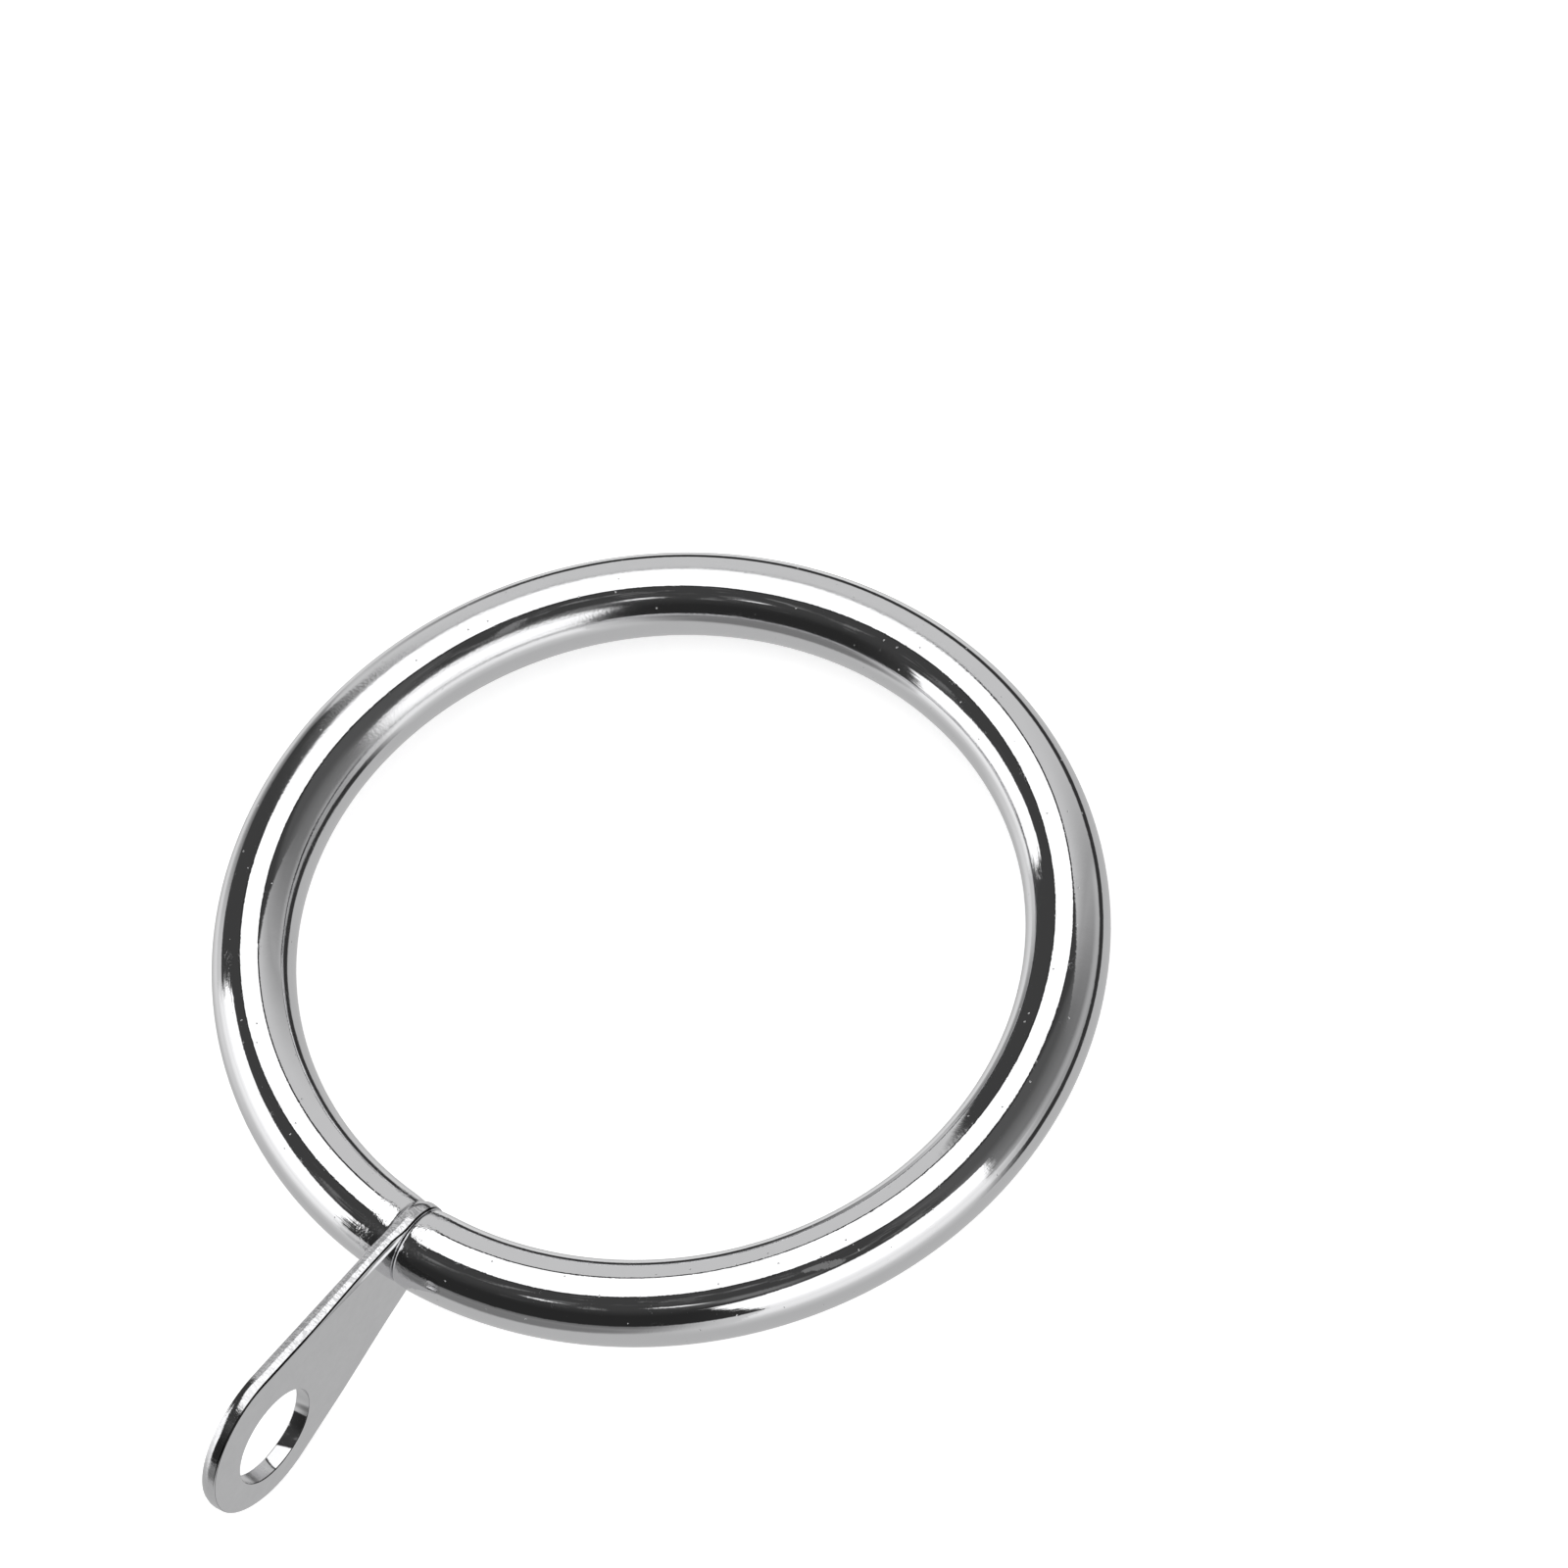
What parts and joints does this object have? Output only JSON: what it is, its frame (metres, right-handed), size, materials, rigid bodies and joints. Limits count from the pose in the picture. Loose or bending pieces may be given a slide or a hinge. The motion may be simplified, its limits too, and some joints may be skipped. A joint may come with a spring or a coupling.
{
  "type": "curtain ring with fixed eyelet",
  "caption": "Closed round ring of bent chrome-plated wire with a flat teardrop eyelet plate set between its ends, for hanging a curtain from a rod.",
  "frame": {"origin": "centre of the ring, on the centre line of its wire", "axes": "+Z along the ring's axis, the way the rod goes through; +X from the centre to the eyelet; +Y along the axis of the eyelet's hole. The eyelet leans a little towards -Z."},
  "size_m": [0.0614, 0.0468, 0.0094],
  "materials": {
    "ring_chrome": "polished and bright-plated",
    "eyelet_chrome": "stamped, tumbled and bright-plated"
  },
  "bodies": {
    "root": {"ring_wire": "ring_chrome", "eyelet_plate": "eyelet_chrome"}
  },
  "joints": []
}
